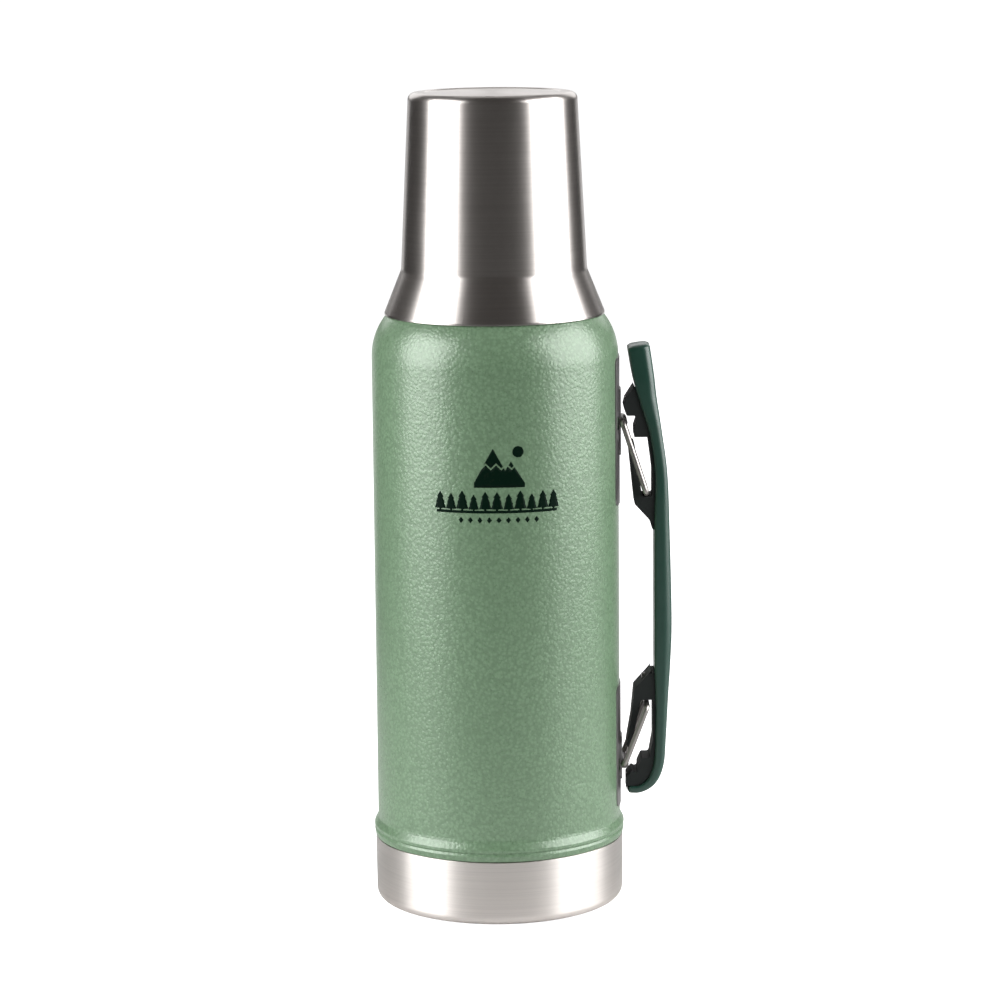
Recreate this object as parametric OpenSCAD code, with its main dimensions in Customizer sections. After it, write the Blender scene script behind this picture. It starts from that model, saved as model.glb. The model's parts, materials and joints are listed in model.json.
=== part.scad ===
// Steel vacuum flask with a screw-on cup, a screw stopper and a fold-away carrying handle.
// The origin is the centre of the base, +Z runs up the flask and +X points to the handle.

/* [Body] */
// Outside diameter of the painted body
body_d = 112; // [108:0.5:116]
// Height at which the straight wall turns into the shoulder
shoulder_z = 252; // [250:0.5:256]
// Radius of the shoulder in section
shoulder_r = 29.5; // [28:0.5:31]
// Outside diameter of the neck
neck_d = 66; // [65:0.5:66.5]
// Height of the neck above the start of the shoulder
neck_h = 48; // [46:0.5:50]
// Sheet thickness of the outer shell
shell_wall = 0.8; // [0.6:0.1:1]

/* [Base] */
// Height of the bare steel base band
band_h = 29.5; // [26:0.5:34]
// How far the base band stands out from the body
band_step = 0.9; // [0.8:0.1:1.2]
// Radius of the bottom corner of the base band
band_corner = 4; // [3:0.5:5]

/* [Liner] */
// Clear vacuum gap between the liner and the outer shell
vacuum_gap = 8; // [6:0.5:10]
// Sheet thickness of the liner
liner_wall = 0.7; // [0.5:0.1:0.9]
// Height of the liner's floor
liner_floor_z = 20; // [18:0.5:24]
// Bore of the mouth
mouth_d = 54; // [53.5:0.1:54.5]

/* [Cup] */
// Diameter of the cup at its rim
cup_rim_d = 99.8; // [99:0.1:100.5]
// Diameter of the cup above the flare
cup_waist_d = 84.2; // [83.5:0.1:86]
// Diameter of the cup at its closed end, before the corner
cup_top_d = 76.6; // [76:0.1:78]
// Height of the cup's flare, from the lip to the waist
cup_flare_h = 19.4; // [19:0.1:20.5]
// Height of the whole cup
cup_h = 100.4; // [99:0.1:104]
// Sheet thickness of the cup
cup_wall = 0.6; // [0.5:0.1:0.7]

/* [Stopper] */
// Diameter of the stopper's knob
knob_d = 62; // [60:0.5:64]
// Height of the knob
knob_h = 17; // [15:0.5:18]
// Number of finger flutes round the knob
knob_flutes = 16; // [12:1:24]
// Number of pouring channels down the plug
pour_channels = 4; // [3:1:6]

/* [Handle] */
// Width of the handle's grip
handle_w = 17.6; // [16:0.2:17.6]
// Diameter of the wire of the two bails
wire_d = 2.7; // [2.5:0.1:2.8]
// Width of a bail, between the middles of its legs
bail_w = 21.2; // [21.2:0.2:23]
// Length of the upper bail, from pivot to bar
upper_bail_len = 34; // [33.5:0.1:34.5]
// Angle of the upper bail from upright when folded
upper_bail_tilt = 18; // [17.5:0.5:18.5]
// Length of the lower bail, from pivot to bar
lower_bail_len = 29.5; // [29:0.1:30]
// Angle of the lower bail from upright when folded
lower_bail_tilt = 21; // [20.5:0.5:21.5]
// Height of the upper bail's pivot
upper_pivot_z = 221.4; // [221:0.1:221.8]
// Height of the lower bail's pivot
lower_pivot_z = 62.3; // [62:0.1:62.6]

/* [Hidden] */
$fn = 96;

// Colours
hammer_green = [0.46, 0.57, 0.48];
bare_steel = [0.78, 0.77, 0.75];
dark_steel = [0.33, 0.33, 0.34];
handle_green = [0.09, 0.27, 0.22];
insert_black = [0.07, 0.08, 0.08];
seal_grey = [0.55, 0.56, 0.55];
foam_white = [0.92, 0.91, 0.86];
moulded_black = [0.12, 0.13, 0.13];
foil_copper = [0.85, 0.6, 0.42];

// Body
body_r = body_d / 2;
shell_in = body_r - shell_wall;
neck_r = neck_d / 2;
mouth_r = mouth_d / 2;
mouth_z = shoulder_z + neck_h;
flange_t = 0.8;
skirt_z = band_corner + 0.5;
bead_z = band_h + 0.4;

// Base
band_r = body_r + band_step;
cap_floor = 0.9;
bottom_z = 9;

// Liner
liner_r = shell_in - vacuum_gap;
liner_in = liner_r - liner_wall;
liner_shoulder_r = 24;
liner_shoulder_z = shoulder_z - 2;
liner_joint_z = liner_floor_z + 8;
foil_t = 0.15;

// Threads: a rolled ridge on each wall, and the free space left between the two crests
thread_pitch = 5;
thread_turns = 1.8;
thread_rise = 0.6;
crest_gap = 0.3;

// Cup
cup_z = shoulder_z + 18.5;
cup_top_z = cup_z + cup_h;
cup_lip_h = 1.2;
cup_dish = 0.35;
cup_corner_h = 6;
cup_hem_z = cup_z + 4.3;
cup_hem_t = 0.7;
cup_waist_z = cup_z + cup_lip_h + cup_flare_h;
cup_gap = 1.4;
liner_offset = cup_wall + cup_gap;
cup_liner_top_z = cup_top_z - cup_wall - 3.2;
ring_z = [mouth_z - 16, mouth_z - 3];
ring_r = neck_r + thread_rise + crest_gap + thread_rise;

// Stopper
plug_r = mouth_r - 2 * thread_rise - crest_gap - 0.1;
plug_z = mouth_z - 28;
boss_r = 14;
knob_r = knob_d / 2;
knob_z = mouth_z + 3;
plug_bore = plug_r - 3;
seal_gap = 0.3;

// Handle
wire_r = wire_d / 2;
bend_r = 2.4;
pivot_x = body_r + wire_r + 0.35;
plate_t = 0.5;
strap_t = 0.6;
strap_half_w = 7;
plate_half_w = 15;
insert_half_w = 7.6;
screw_z = [176, 230, 54.2, 101.6];
screw_len = [6.5, 11, 11, 9];
screw_r = 1.1;
screw_head_r = 2.3;
screw_head_h = 1.6;

function unit(v) = v / norm(v);
function turn(a) = a > 180 ? a - 360 : a < -180 ? a + 360 : a;

// The corner b between a and c, rounded to radius r and given as points about 8 degrees apart
function corner(a, b, c, r) =
  r <= 0 ? [b] :
  let (
    u = unit(a - b),
    v = unit(c - b),
    half = acos(min(1, max(-1, u * v))) / 2,
    m = b + unit(u + v) * r / sin(half),
    p = b + u * r / tan(half) - m,
    q = b + v * r / tan(half) - m,
    from = atan2(p[1], p[0]),
    sweep = turn(atan2(q[1], q[0]) - from),
    n = max(1, ceil(abs(sweep) / 8))
  )
  [for (i = [0:n]) m + r * [cos(from + sweep * i / n), sin(from + sweep * i / n)]];

function flat(p) = [p[0], p[1]];

// An outline whose points are [x, y] or [x, y, corner radius]
function soft(pts) = [
  for (i = [0:len(pts) - 1])
    let (
      a = pts[(i + len(pts) - 1) % len(pts)],
      b = pts[i],
      c = pts[(i + 1) % len(pts)]
    )
    each corner(flat(a), flat(b), flat(c), len(b) > 2 ? b[2] : 0)
];

// Points of an arc about m, from one angle to another
function arc(m, r, from, to, n = 12) =
  [for (i = [0:n]) m + r * [cos(from + (to - from) * i / n), sin(from + (to - from) * i / n)]];

module turned(pts) {
  rotate_extrude() polygon(soft(pts));
}

// A profile drawn in X and Z, as thick as w along Y
module slab(pts, w) {
  rotate([90, 0, 0]) linear_extrude(height = w, center = true) polygon(soft(pts));
}

// The same, with a second profile cut away
module cut_slab(pts, away, w) {
  rotate([90, 0, 0]) linear_extrude(height = w, center = true) difference() {
    polygon(soft(pts));
    polygon(soft(away));
  }
}

// A helical ridge: it stands proud of radius r by rise, outwards (+1) or inwards (-1),
// and fades out over a sixth of a turn at each end
module ridge(r, rise, side, z0, pitch = thread_pitch, turns = thread_turns, width = 2.2) {
  per_turn = 40;
  n = round(turns * per_turn);
  fade = per_turn / 6;
  sink = 0.12;
  points = [
    for (i = [0:n])
      let (
        a = 360 * i / per_turn,
        z = z0 + pitch * i / per_turn,
        k = min(1, min(i, n - i) / fade + 0.1),
        back = r - side * sink,
        tip = r + side * rise * k
      )
      each [
        [back * cos(a), back * sin(a), z - width * k / 2],
        [tip * cos(a), tip * sin(a), z - width * k / 5],
        [tip * cos(a), tip * sin(a), z + width * k / 5],
        [back * cos(a), back * sin(a), z + width * k / 2]
      ]
  ];
  walls = [
    for (i = [0:n - 1], j = [0:3])
      let (p = 4 * i + j, q = 4 * i + (j + 1) % 4)
      each [[p, q, q + 4], [p, q + 4, p + 4]]
  ];
  ends = [[0, 2, 1], [0, 3, 2], [4 * n, 4 * n + 1, 4 * n + 2], [4 * n, 4 * n + 2, 4 * n + 3]];
  faces = concat(walls, ends);
  polyhedron(points = points, faces = side > 0 ? faces : [for (f = faces) [f[0], f[2], f[1]]]);
}

// ---- Vessel ----

module outer_shell() {
  centre = [body_r - shoulder_r, shoulder_z];
  steep = acos((neck_r - centre[0]) / shoulder_r);
  in_r = shoulder_r - shell_wall;
  in_steep = acos((neck_r - shell_wall - centre[0]) / in_r);
  outside = [
    [body_r, skirt_z],
    [body_r, bead_z],
    [body_r + 1.25, bead_z, 0.2],
    [body_r + 1.7, bead_z + 2.4, 0.5],
    [body_r + 1.2, bead_z + 3.5],
    [body_r + 1.75, bead_z + 4.2, 0.4],
    [body_r + 1.7, bead_z + 5.4, 0.8],
    [body_r + 0.2, bead_z + 8.2, 1.5],
    [body_r, bead_z + 9.6, 2]
  ];
  inside = [
    [shell_in, bead_z + 9.6],
    [body_r + 0.7, bead_z + 6, 1.5],
    [body_r + 0.7, bead_z + 3, 1],
    [shell_in, bead_z + 0.4],
    [shell_in, skirt_z]
  ];
  color(hammer_green) union() {
    turned(concat(
      outside,
      arc(centre, shoulder_r, 0, steep),
      [[neck_r, mouth_z - flange_t], [neck_r - shell_wall, mouth_z - flange_t]],
      arc(centre, in_r, in_steep, 0),
      inside
    ));
    ridge(neck_r, thread_rise, 1, mouth_z - 14);
  }
}

module outer_bottom() {
  flange = shell_in - shell_wall;
  color(bare_steel) turned([
    [0, bottom_z], [flange, bottom_z, 2], [flange, skirt_z],
    [shell_in, skirt_z], [shell_in, bottom_z + shell_wall, 2.8], [0, bottom_z + shell_wall]
  ]);
}

module base_cap() {
  color(bare_steel) turned([
    [0, 0], [24, 0], [24.8, cap_floor], [28.2, cap_floor], [29, 0],
    [band_r, 0, band_corner], [band_r + 0.25, band_h, 0.2], [body_r, band_h],
    [body_r, cap_floor, band_corner - 0.9],
    [29.4, cap_floor], [28.6, 2 * cap_floor], [24.4, 2 * cap_floor], [23.6, cap_floor], [0, cap_floor]
  ]);
}

// Bead of solder that closes the pumping hole
module vacuum_seal() {
  color(dark_steel) turned([[0, bottom_z - 1.6], [4.2, bottom_z - 1.6, 1.2], [4.6, bottom_z], [0, bottom_z]]);
}

getter_at = [24, 0, bottom_z + shell_wall];

module getter() {
  color(dark_steel) translate(getter_at) difference() {
    cylinder(r = 5, h = 2.4);
    translate([0, 0, 0.8]) cylinder(r = 4.2, h = 2);
  }
}

module getter_clip() {
  color(bare_steel) translate(getter_at) difference() {
    union() {
      translate([-2, -6, 0]) cube([4, 12, 3]);
      translate([-2, -9, 0]) cube([4, 18, 0.5]);
    }
    translate([-3, -5.3, -1]) cube([6, 10.6, 3.4]);
  }
}

module radiation_foil() {
  color(foil_copper) difference() {
    translate([0, 0, liner_joint_z]) cylinder(r = liner_r + foil_t, h = liner_shoulder_z - liner_joint_z - 2);
    cylinder(r = liner_r, h = shoulder_z);
  }
}

module inner_liner() {
  centre = [liner_r - liner_shoulder_r, liner_shoulder_z];
  throat = mouth_r + liner_wall;
  steep = acos((throat - centre[0]) / liner_shoulder_r);
  in_r = liner_shoulder_r - liner_wall;
  in_steep = acos((mouth_r - centre[0]) / in_r);
  color(bare_steel) union() {
    turned(concat(
      [[liner_r, liner_joint_z]],
      arc(centre, liner_shoulder_r, 0, steep),
      [
        [throat, mouth_z - flange_t], [neck_r, mouth_z - flange_t], [neck_r, mouth_z, 0.3],
        [mouth_r, mouth_z, 0.4]
      ],
      arc(centre, in_r, in_steep, 0),
      [[liner_in, liner_joint_z]]
    ));
    ridge(mouth_r, thread_rise, -1, mouth_z - 19);
  }
}

module liner_bottom() {
  under = liner_floor_z - liner_wall;
  color(bare_steel) turned([
    [0, under], [liner_r, under, 7], [liner_r, liner_joint_z],
    [liner_in, liner_joint_z], [liner_in, liner_floor_z, 6.3], [0, liner_floor_z]
  ]);
}

// ---- Handle brackets ----

// A curved plate on the body, r_in to r_out, between two heights and within half_w of Y = 0
module curved_plate(r_in, r_out, z0, z1, half_w) {
  intersection() {
    difference() {
      translate([0, 0, z0]) cylinder(r = r_out, h = z1 - z0);
      translate([0, 0, z0 - 1]) cylinder(r = r_in, h = z1 - z0 + 2);
    }
    translate([body_r - 10, 0, 0]) rotate([90, 0, 90]) linear_extrude(height = 20)
      polygon(soft([[-half_w, z0, 3], [half_w, z0, 3], [half_w, z1, 3], [-half_w, z1, 3]]));
  }
}

// A bracket plate, open behind the pivot bar
module bracket_plate(z0, z1, pivot_z) {
  color(dark_steel) difference() {
    curved_plate(body_r, body_r + plate_t, z0, z1, plate_half_w);
    translate([body_r - 5, -bail_w / 2 - 2, pivot_z - 2.7]) cube([10, bail_w + 4, 5.4]);
  }
}

// A rod along Y, about the pivot at that height
module pivot_rod(pivot_z, r, w) {
  translate([pivot_x, 0, pivot_z]) rotate([90, 0, 0]) cylinder(r = r, h = w, center = true);
}

// A strap welded over the plate, humped over the pivot bar so that the bar turns in it
module pivot_strap(z0, z1, pivot_z) {
  bore = wire_r + 0.25;
  hump = bore + strap_t;
  color(dark_steel) difference() {
    union() {
      curved_plate(body_r + plate_t, body_r + plate_t + strap_t, z0, z1, strap_half_w);
      pivot_rod(pivot_z, hump, 2 * strap_half_w);
    }
    pivot_rod(pivot_z, bore, 3 * strap_half_w);
    translate([0, 0, z0 - 1]) cylinder(r = body_r + 0.1, h = z1 - z0 + 2);
  }
}

module upper_plate() {
  bracket_plate(184, 251.5, upper_pivot_z);
}

module lower_plate() {
  bracket_plate(43.5, 100, lower_pivot_z);
}

module upper_strap() {
  pivot_strap(206, 236.5, upper_pivot_z);
}

module lower_strap() {
  pivot_strap(54.5, 75, lower_pivot_z);
}

// ---- Stopper ----

module stopper_gasket() {
  color(seal_grey) turned([
    [boss_r + seal_gap, plug_z - 4], [mouth_r - 1, plug_z - 4, 0.8],
    [mouth_r - 1.4, plug_z - seal_gap, 0.6], [boss_r + seal_gap, plug_z - seal_gap]
  ]);
}

// The seal ring lies in a groove of the plug, above the thread
oring_z = mouth_z - 3.5;
oring_r = 1.1;
oring_mid = mouth_r - 0.4 - oring_r;

module stopper_oring() {
  color(seal_grey) rotate_extrude() translate([oring_mid, oring_z]) circle(r = oring_r, $fn = 40);
}

// Pouring channels down the side of the plug, through its thread
module channels() {
  for (i = [0:pour_channels - 1])
    rotate(360 * i / pour_channels + 20)
      translate([plug_r - 1.2, -3, plug_z - 1]) cube([4, 6, 20]);
}

module stopper_body() {
  groove = oring_mid - oring_r - seal_gap;
  color(moulded_black) union() {
    difference() {
      turned([
        [0, plug_z - 6], [20, plug_z - 6, 1], [20, plug_z - 4 - seal_gap],
        [boss_r, plug_z - 4 - seal_gap], [boss_r, plug_z],
        [plug_r, plug_z, 0.8], [plug_r, oring_z - oring_r - seal_gap],
        [groove, oring_z - oring_r - seal_gap], [groove, oring_z + oring_r + seal_gap],
        [plug_r, oring_z + oring_r + seal_gap], [plug_r, mouth_z + seal_gap],
        [neck_r, mouth_z + seal_gap, 0.5], [neck_r, knob_z, 0.8],
        [plug_bore, knob_z], [plug_bore, plug_z + 3], [0, plug_z + 3]
      ]);
      channels();
    }
    difference() {
      ridge(plug_r, thread_rise, 1, mouth_z - 20);
      channels();
    }
  }
}

module stopper_cover() {
  top = knob_z + knob_h;
  color(moulded_black) difference() {
    turned([
      [0, top], [knob_r - 3, top, 2.5], [knob_r, knob_z + 6, 4], [knob_r, knob_z, 1],
      [knob_r - 2.4, knob_z], [knob_r - 2.4, top - 2.6, 2], [0, top - 2.6]
    ]);
    for (i = [0:knob_flutes - 1])
      rotate(360 * i / knob_flutes)
        translate([knob_r + 1.7, 0, knob_z + 2.5]) cylinder(r = 2.6, h = knob_h);
  }
}

module stopper_foam() {
  color(foam_white) turned([
    [0, plug_z + 3], [plug_bore, plug_z + 3], [plug_bore, knob_z + knob_h - 2.6], [0, knob_z + knob_h - 2.6]
  ]);
}

// ---- Cup ----

// Radius of the cup's liner, on its inner face, at a height above the waist
function cup_bore(z) =
  cup_waist_d / 2 - liner_offset - cup_wall
  - (z - cup_waist_z) * (cup_waist_d - cup_top_d) / 2 / (cup_top_z - cup_corner_h - cup_waist_z);

// Radius of the inner face of the cup's outer skin, at a height on the flare
function cup_skirt(z) =
  cup_rim_d / 2 - cup_wall
  - (z - cup_z - cup_lip_h + 0.2) * (cup_rim_d - cup_waist_d) / 2 / (cup_flare_h - 0.1);

// The rim's end is cut on the slant, so that it follows the shoulder it stands over
module cup_outer() {
  rim_r = cup_rim_d / 2;
  waist_r = cup_waist_d / 2;
  top_r = cup_top_d / 2;
  dish_z = cup_top_z - cup_dish;
  color(bare_steel) turned([
    [rim_r, cup_z, 0.15], [rim_r, cup_z + cup_lip_h, 1], [waist_r, cup_waist_z, 5],
    [top_r, cup_top_z - cup_corner_h], [top_r - 0.3, cup_top_z, 3.5],
    [top_r - 7.4, cup_top_z], [top_r - 8, dish_z], [0, dish_z],
    [0, dish_z - cup_wall], [top_r - 8, dish_z - cup_wall],
    [top_r - cup_wall - 0.3, dish_z - cup_wall, 2.9], [top_r - cup_wall, cup_top_z - cup_corner_h],
    [waist_r - cup_wall, cup_waist_z - 0.3, 5], [rim_r - cup_wall, cup_z + cup_lip_h - 0.2, 0.6],
    [rim_r - cup_wall, cup_z + 0.8]
  ]);
}

// The inner skin turns out into a hem that closes on the outer skin above the rim
module cup_inner() {
  low = cup_waist_d / 2 - liner_offset;
  shut = cup_bore(cup_liner_top_z);
  hem_top = cup_hem_z + cup_hem_t;
  color(bare_steel) turned([
    [cup_skirt(cup_hem_z), cup_hem_z], [cup_skirt(hem_top), hem_top],
    [cup_skirt(hem_top) - cup_gap, hem_top, 0.4], [low, cup_waist_z - 0.6, 5],
    [shut + cup_wall, cup_liner_top_z, 4], [0, cup_liner_top_z],
    [0, cup_liner_top_z - cup_wall], [shut, cup_liner_top_z - cup_wall, 3.4],
    [low - cup_wall, cup_waist_z - 0.9, 5],
    [cup_skirt(cup_hem_z) - liner_offset, cup_hem_z, 0.5]
  ]);
}

module cup_thread_ring() {
  low = cup_bore(cup_waist_z) - 0.3;
  color(moulded_black) union() {
    turned([
      [ring_r, ring_z[0], 0.5], [low, ring_z[0], 0.3], [low, cup_waist_z],
      [cup_bore(ring_z[1]) - 0.3, ring_z[1]], [ring_r, ring_z[1], 0.5]
    ]);
    ridge(ring_r, thread_rise, -1, mouth_z - 13);
  }
}

module cup_seal() {
  r = cup_bore(ring_z[1] + 2) - 0.5;
  z = ring_z[1] + seal_gap;
  color(seal_grey) turned([[r - 3.2, z, 0.4], [r, z, 0.4], [r, z + 2, 0.4], [r - 3.2, z + 2, 0.4]]);
}

// ---- Handle ----
// Outlines are [distance out from the body's surface, height, corner radius].

function out(pts) = [for (p = pts) [p[0] + body_r, p[1], len(p) > 2 ? p[2] : 0]];

grip_outline = [
  [3.6, 256.6, 2.2], [14, 256.6, 2.6], [22.1, 196.5, 60], [24.1, 130, 400], [20, 48.6, 11],
  [2.9, 48.6, 1.2], [2.9, 51.8, 0.5], [9, 51.8, 4], [15.6, 58.5, 7], [16.2, 72, 30], [16.2, 97, 20],
  [15.7, 112, 30], [15.7, 171, 30], [16.2, 186, 20], [16.2, 197, 10], [14.2, 216, 8],
  [12, 227, 4], [6.4, 238.4, 1], [4.3, 250, 8]
];

upper_insert_outline = [
  [16.4, 166.5, 2], [13.7, 176.4, 5], [6.9, 183.8, 1.5], [4.1, 211.4, 0.6], [6.9, 212, 0.8],
  [10.4, 187.2, 1.2], [15, 187.2, 0.8], [15, 199, 6], [13, 214.6, 0.8], [6.8, 214.6, 0.5],
  [6.7, 218.4, 1], [7.8, 221.8, 1], [7.3, 224.4, 0.8], [3.4, 224.4, 1.2], [2, 228.4, 1.2],
  [2.8, 231.6, 1.5], [6.5, 237.4, 1], [7.5, 240, 0], [12, 240, 0],
  [17.5, 214, 0], [17.5, 170, 0]
];

lower_insert_outline = [
  [16.4, 113, 2], [13.9, 105.6, 5], [6.5, 97.4, 1.5], [5.2, 84, 6], [2.9, 70.6, 0.6], [5, 69.8, 0.8],
  [7.9, 84, 6], [9.6, 92.4, 1.2], [15, 92.4, 0.8], [15, 74, 6], [13.4, 65, 1.2], [9.8, 65, 1],
  [8, 61, 0.8], [7.8, 56.8, 1], [5.6, 59.2, 0.8], [2.8, 56, 0.8], [2.8, 49.5, 0], [12, 49.5, 0],
  [17.5, 60, 0], [17.5, 100, 0]
];

// Head and shank of a screw driven outwards along +X from x = 0
module screw(length, clearance = 0) {
  rotate([0, 90, 0]) {
    cylinder(r = screw_r + clearance, h = length + clearance);
    cylinder(r = screw_head_r + clearance, h = screw_head_h);
  }
}

// Where each screw's head lies, out from the body's surface
screw_x = [14.4, 2.4, 2.9, 10.2];

module screws(clearance = 0) {
  for (i = [0:3])
    translate([body_r + screw_x[i], 0, screw_z[i]]) screw(screw_len[i], clearance);
}

module handle_grip() {
  color(handle_green) difference() {
    slab(out(grip_outline), handle_w);
    screws(0.02);
  }
}

module upper_insert() {
  color(insert_black) difference() {
    cut_slab(out(upper_insert_outline), out(grip_outline), 2 * insert_half_w);
    screws(0.02);
  }
}

module lower_insert() {
  color(insert_black) difference() {
    cut_slab(out(lower_insert_outline), out(grip_outline), 2 * insert_half_w);
    screws(0.02);
  }
}

module handle_screws() {
  color(dark_steel) screws();
}

// A closed wire loop from its pivot bar at the origin to its far bar at [0, 0, len],
// both bars along Y
module wire_loop(len) {
  half = bail_w / 2;
  color(bare_steel) rotate([0, 0, 90]) rotate([90, 0, 0]) {
    for (y = [0, len]) translate([0, y, 0])
      rotate([0, 90, 0]) cylinder(r = wire_r, h = 2 * (half - bend_r), center = true);
    for (s = [-1, 1]) translate([s * half, bend_r, 0])
      rotate([-90, 0, 0]) cylinder(r = wire_r, h = len - 2 * bend_r);
    for (k = [0:3]) {
      sx = k == 0 || k == 3 ? 1 : -1;
      sy = k < 2 ? len - bend_r : bend_r;
      translate([sx * (half - bend_r), sy, 0]) rotate(90 * k)
        rotate_extrude(angle = 90) translate([bend_r, 0]) circle(r = wire_r, $fn = 40);
    }
  }
}

module upper_bail() {
  translate([pivot_x, 0, upper_pivot_z]) rotate([0, 180 - upper_bail_tilt, 0]) wire_loop(upper_bail_len);
}

module lower_bail() {
  translate([pivot_x, 0, lower_pivot_z]) rotate([0, lower_bail_tilt, 0]) wire_loop(lower_bail_len);
}

outer_shell();
outer_bottom();
base_cap();
vacuum_seal();
getter();
getter_clip();
radiation_foil();
inner_liner();
liner_bottom();
upper_plate();
lower_plate();
upper_strap();
lower_strap();
stopper_gasket();
stopper_oring();
stopper_body();
stopper_cover();
stopper_foam();
cup_seal();
cup_outer();
cup_inner();
cup_thread_ring();
handle_grip();
upper_insert();
lower_insert();
handle_screws();
upper_bail();
lower_bail();
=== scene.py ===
import json
import math

import bmesh
import bpy
import numpy as np
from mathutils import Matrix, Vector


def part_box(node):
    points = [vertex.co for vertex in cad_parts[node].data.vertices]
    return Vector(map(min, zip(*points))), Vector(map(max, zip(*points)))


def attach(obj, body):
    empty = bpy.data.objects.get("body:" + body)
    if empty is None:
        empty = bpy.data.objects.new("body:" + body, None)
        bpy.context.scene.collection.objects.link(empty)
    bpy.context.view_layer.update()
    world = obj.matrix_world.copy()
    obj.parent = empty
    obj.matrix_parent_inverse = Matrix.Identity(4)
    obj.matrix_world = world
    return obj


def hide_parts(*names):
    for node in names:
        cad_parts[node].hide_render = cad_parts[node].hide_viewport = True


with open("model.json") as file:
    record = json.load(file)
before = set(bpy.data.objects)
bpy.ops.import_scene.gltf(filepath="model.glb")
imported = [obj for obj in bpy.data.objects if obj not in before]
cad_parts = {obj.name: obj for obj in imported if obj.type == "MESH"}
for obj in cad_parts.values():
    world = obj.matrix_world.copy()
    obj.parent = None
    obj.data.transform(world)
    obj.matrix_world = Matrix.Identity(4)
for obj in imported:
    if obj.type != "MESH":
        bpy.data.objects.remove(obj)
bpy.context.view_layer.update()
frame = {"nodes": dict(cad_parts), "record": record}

bl_info = {
    "name": "Vacuum flask",
    "version": (1, 0, 0),
    "blender": (4, 5, 0),
    "location": "View3D > Sidebar > Flask",
    "description": "Builds a steel vacuum flask with its cup, stopper and folding handle",
    "category": "Add Mesh",
}

MM = 0.001
TURN = 2 * math.pi

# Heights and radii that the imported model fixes, in metres
BAND_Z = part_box("base_cap")[1][2]
MOUTH_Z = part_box("inner_liner")[1][2]
CUP_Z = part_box("cup_outer")[0][2]
CUP_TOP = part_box("cup_outer")[1][2]


# ---- Sizes and colours ----


def length(name, description, default):
    """A size in metres, shown with its unit."""
    return bpy.props.FloatProperty(
        name=name, description=description, default=default, min=0, unit="LENGTH", precision=5
    )


def amount(name, description, default, top=1.0):
    """A plain number from nought to top."""
    return bpy.props.FloatProperty(
        name=name, description=description, default=default, min=0, max=top
    )


def colour(name, description, default):
    """A linear colour."""
    return bpy.props.FloatVectorProperty(
        name=name, description=description, default=default, size=3, min=0, max=1, subtype="COLOR"
    )


class FlaskSizes(bpy.types.PropertyGroup):
    """Sizes that the surfaces are worked out from."""

    body_r: length("Body radius", "Outside radius of the painted body", 56 * MM)
    shoulder_z: length("Shoulder height", "Height where the shoulder starts", 252 * MM)
    shoulder_r: length("Shoulder radius", "Radius of the shoulder in section", 29.5 * MM)
    shell_wall: length("Shell sheet", "Sheet thickness of the outer shell", 0.8 * MM)
    neck_r: length("Neck radius", "Outside radius of the neck", 33 * MM)
    mouth_r: length("Mouth radius", "Radius of the mouth's bore", 27 * MM)
    liner_r: length("Liner radius", "Outside radius of the liner", 47.2 * MM)
    liner_wall: length("Liner sheet", "Sheet thickness of the liner", 0.7 * MM)
    cup_rim_r: length("Cup rim radius", "Radius of the cup at its rim", 49.9 * MM)
    cup_waist_r: length("Cup waist radius", "Radius of the cup above its flare", 42.1 * MM)
    cup_top_r: length("Cup end radius", "Radius of the cup at its closed end", 38.3 * MM)
    cup_wall: length("Cup sheet", "Sheet thickness of the cup", 0.6 * MM)
    knob_r: length("Knob radius", "Radius of the stopper's knob", 31 * MM)
    grip_half_w: length("Grip half width", "Half the width of the handle's grip", 8.8 * MM)
    wire_r: length("Wire radius", "Radius of the bail wire", 1.35 * MM)
    bail_half_w: length("Bail half width", "From the middle plane to a bail's leg", 10.6 * MM)
    bend_r: length("Wire bend", "Bend radius of the wire's corners", 2.4 * MM)


class FlaskFinish(bpy.types.PropertyGroup):
    """Colours and textures of the finishes."""

    paint: colour("Hammertone", "Main colour of the enamel", (0.150, 0.250, 0.146))
    paint_dark: colour("Hammertone hollows", "Colour between the flakes", (0.065, 0.115, 0.060))
    # Paler colour of the raised cell middles: partly the flakes' own tone, partly painted highlight.
    paint_flake_highlight: colour("Hammertone flakes", "Colour of the flakes", (0.205, 0.335, 0.200))
    flake: length("Flake size", "Size of the enamel's cells", 1.6 * MM)
    dimple: amount("Dimple depth", "Depth of the enamel's cells", 0.36)
    steel: colour("Steel", "Colour of the bare steel", (0.62, 0.585, 0.56))
    # Dark: partly the brackets' own dark finish, partly painted shade of steel that sits in the handle's
    # shadow.
    steel_dark_and_shade: colour("Bracket steel", "Colour of the bracket steel", (0.21, 0.20, 0.195))
    grip: colour("Grip", "Colour of the handle's outer part", (0.008, 0.064, 0.043))
    # Near black: partly the inserts' own dark plastic, partly painted shade of the handle's recessed inner
    # side.
    insert: colour("Insert", "Colour of the handle's inner parts", (0.010, 0.012, 0.012))
    ink: colour("Print", "Colour of the print on the front", (0.001, 0.010, 0.005))
    rubber: colour("Seals", "Colour of the seals", (0.33, 0.34, 0.33))


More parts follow.
